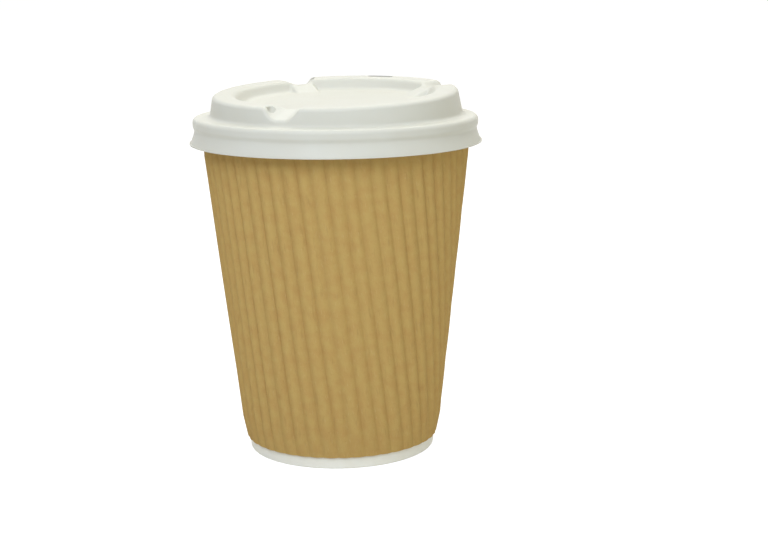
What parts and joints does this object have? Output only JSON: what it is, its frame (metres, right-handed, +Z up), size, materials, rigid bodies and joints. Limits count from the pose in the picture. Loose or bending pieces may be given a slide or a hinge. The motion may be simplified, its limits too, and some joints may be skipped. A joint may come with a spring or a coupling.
{
  "type": "paper coffee cup",
  "caption": "Tapered paper takeaway cup with a kraft ripple sleeve, a rolled rim, a raised bottom and a plastic sip lid that snaps over the rim and lifts off.",
  "frame": {"origin": "on the table, at the middle of the foot", "axes": "+Z up along the cup's axis, -Y towards the viewer, +X to the viewer's right"},
  "size_m": [0.0934, 0.0934, 0.1184],
  "materials": {
    "white_paper": "coated cup board, satin",
    "kraft_paper": "matt kraft paper with fine fibres",
    "lid_plastic": "thermoformed sheet, satin"
  },
  "bodies": {
    "cup": {"cup_wall": "white_paper", "cup_bottom": "white_paper", "ripple_sleeve": "kraft_paper"},
    "lid": {"lid": "lid_plastic"}
  },
  "joints": [
    {"name": "lid_lift", "type": "slide", "parent": "cup", "child": "lid", "axis": [0, 0, 1], "range_m": [0, 0.06]}
  ]
}
